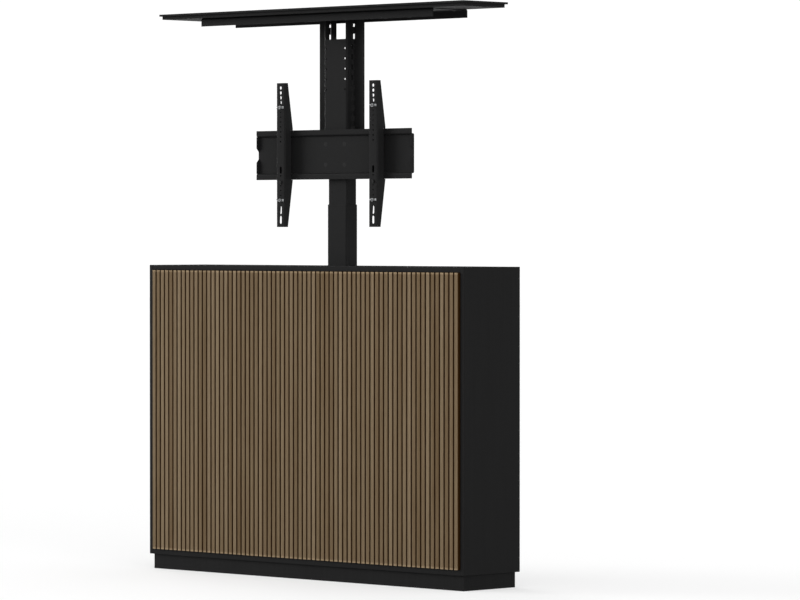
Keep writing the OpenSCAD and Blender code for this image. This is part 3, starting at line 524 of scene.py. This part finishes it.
class LIFTCABINET_OT_sheets(DressStep):
    """Finishes the mast, the crossbar, the arms and the lid's bracket"""
    bl_idname = "lift_cabinet.sheets"
    bl_label = "Folded Sheet Steel"

    def make(self, look):
        coat = textured_material("Powder coat", look.steel, 0.5, 1100.0, 0.00004, gloss=STEEL_GLOSS)
        for node in SHEETS + tuple("arm_" + side for side in SIDES):
            eased(node, coat, look.sheet_edge, look.segments)
        # Painted shade: dark strips behind the mast's slots stand in for the shade seen through them.
        add_slot_shade_strips(textured_material("Slot shade strip", look.plastic, 0.9, 1600.0, 0.0002))


class LIFTCABINET_OT_fasteners(DressStep):
    """Finishes the screws, bolts, latches, clamp plates and spindles"""
    bl_idname = "lift_cabinet.fasteners"
    bl_label = "Screws and Bolts"

    def make(self, look):
        zinc = plated_material("Zinc plate", look.zinc, 0.3)
        black = textured_material("Black oxide", look.steel, 0.4, 2200.0, 0.00001)
        bright = BRIGHT_BOLTS + SPINDLES
        for side in SIDES:
            bright += ("latch_" + side, "screen_screws_" + side)
        for node in bright:
            eased(node, zinc, BOLT_EDGE, look.segments)
        for node in BLACK_BOLTS + tuple("latch_screws_" + side for side in SIDES):
            eased(node, black, SCREW_EDGE, look.segments)
        dull = plated_material("Dull zinc plate", shade(look.zinc, 0.3), 0.5)
        # Painted shade: the lid screws' zinc is darkened to a tenth, standing in for the shade inside the
        # lid bracket.
        dark = plated_material("Shade-darkened zinc plate", shade(look.zinc, 0.1), 0.6)
        eased("lid_screws", dark, BOLT_EDGE, look.segments)
        for side in SIDES:
            eased("screen_plates_" + side, dull, SCREW_EDGE, look.segments)


class LIFTCABINET_OT_stage(DressStep):
    """Makes the floor, the lights and the camera"""
    bl_idname = "lift_cabinet.stage"
    bl_label = "Stage"

    def make(self, look):
        stage = bpy.context.scene.lift_cabinet_stage
        make_floor(stage.floor_glow)
        make_world(stage.sky)
        add_soft_light("Key light", (0.80, 0.46, -0.25), radians(30), stage.key)
        add_soft_light("Fill light", (-0.90, 0.40, -0.08), radians(40), stage.fill)
        add_soft_light("Back light", (0.90, -0.40, -0.20), radians(35), stage.back)
        add_soft_light("Top light", (0.0, 0.0, -1.0), radians(60), stage.top)
        make_camera(stage)


def seen_ray(graph):
    """1 for a ray that the camera sees, straight, off a gloss or through glass, and 0 for others."""
    rays = graph.add("ShaderNodeLightPath").outputs
    turned = graph.math("MAXIMUM", rays["Is Glossy Ray"], rays["Is Transmission Ray"])
    return graph.math("MAXIMUM", rays["Is Camera Ray"], turned)


def make_floor(glow_strength):
    """A wide white floor, on which only the object's soft shadow shows."""
    shape = bmesh.new()
    bmesh.ops.create_circle(shape, cap_ends=True, segments=64, radius=FLOOR_RADIUS)
    mesh = bpy.data.meshes.new("floor")
    shape.to_mesh(mesh)
    shape.free()
    floor = bpy.data.objects.new("floor", mesh)
    bpy.context.scene.collection.objects.link(floor)
    material, graph, shader = start_material("White floor", gloss=0.0)[:3]
    shader.inputs["Base Color"].default_value = (FLOOR_TONE, FLOOR_TONE, FLOOR_TONE, 1.0)
    shader.inputs["Roughness"].default_value = 0.9
    seen_glow = graph.math("MULTIPLY", seen_ray(graph), glow_strength)
    glow = graph.add("ShaderNodeEmission", {"Strength": seen_glow})
    both = graph.add("ShaderNodeAddShader", {0: shader.outputs[0], 1: glow.outputs[0]})
    graph.tree.links.new(both.outputs[0], material.node_tree.nodes["Material Output"].inputs["Surface"])
    mesh.materials.append(material)


def make_world(strength):
    """A world that lights the stage evenly and shows white behind it."""
    world = bpy.data.worlds.new("Soft studio")
    world.use_nodes = True
    bpy.context.scene.world = world
    graph = Graph(world.node_tree)
    lit = graph.add("ShaderNodeBackground", {"Color": (1.0, 1.0, 1.0, 1.0), "Strength": strength})
    white = graph.add("ShaderNodeBackground",
                      {"Color": (1.0, 1.0, 1.0, 1.0), "Strength": BACKDROP_TONE})
    choice = graph.add("ShaderNodeMixShader", {0: seen_ray(graph), 1: lit.outputs[0], 2: white.outputs[0]})
    graph.tree.links.new(choice.outputs[0], world.node_tree.nodes["World Output"].inputs["Surface"])


def add_soft_light(name, heading, spread, strength):
    """A soft light that reaches the whole stage evenly along its heading."""
    light = bpy.data.lights.new(name, "SUN")
    light.angle = spread
    light.energy = strength
    lamp = bpy.data.objects.new(name, light)
    lamp.rotation_euler = Vector(heading).to_track_quat("-Z", "Y").to_euler()
    bpy.context.scene.collection.objects.link(lamp)


def make_camera(stage):
    """A camera with the photo's lens, place and heading."""
    camera = bpy.data.cameras.new("Camera")
    camera.lens = stage.lens
    camera.sensor_width = 36.0
    camera.clip_end = 200.0
    eye = bpy.data.objects.new("Camera", camera)
    around = Matrix.Rotation(stage.heading - radians(90), 4, "Z")
    down = Matrix.Rotation(radians(90) - stage.dip, 4, "X")
    eye.matrix_world = Matrix.Translation(Vector(stage.eye)) @ (around @ down)
    bpy.context.scene.collection.objects.link(eye)
    bpy.context.scene.camera = eye


STEPS = (
    LIFTCABINET_OT_surfaces, LIFTCABINET_OT_boards, LIFTCABINET_OT_slats, LIFTCABINET_OT_backs,
    LIFTCABINET_OT_column, LIFTCABINET_OT_sheets, LIFTCABINET_OT_fasteners, LIFTCABINET_OT_stage,
)


class LIFTCABINET_PT_panel(bpy.types.Panel):
    """Lists the steps, the finishes and the stage"""
    bl_idname = "LIFTCABINET_PT_panel"
    bl_label = "Lift Cabinet"
    bl_space_type = "VIEW_3D"
    bl_region_type = "UI"
    bl_category = "Lift Cabinet"

    def draw(self, context):
        scene = context.scene
        for step in STEPS:
            self.layout.operator(step.bl_idname)
        for settings in (scene.lift_cabinet_finishes, scene.lift_cabinet_stage):
            for name in settings.__annotations__:
                self.layout.prop(settings, name)


CLASSES = (LiftCabinetFinishes, LiftCabinetStage) + STEPS + (LIFTCABINET_PT_panel,)


def register():
    for item in CLASSES:
        bpy.utils.register_class(item)
    bpy.types.Scene.lift_cabinet_finishes = PointerProperty(type=LiftCabinetFinishes)
    bpy.types.Scene.lift_cabinet_stage = PointerProperty(type=LiftCabinetStage)


def unregister():
    del bpy.types.Scene.lift_cabinet_stage
    del bpy.types.Scene.lift_cabinet_finishes
    for item in reversed(CLASSES):
        bpy.utils.unregister_class(item)


def main():
    register()
    bpy.context.scene.view_settings.view_transform = "Standard"
    for step in STEPS:
        getattr(bpy.ops.lift_cabinet, step.bl_idname.split(".")[1])()


if __name__ == "__main__":
    main()
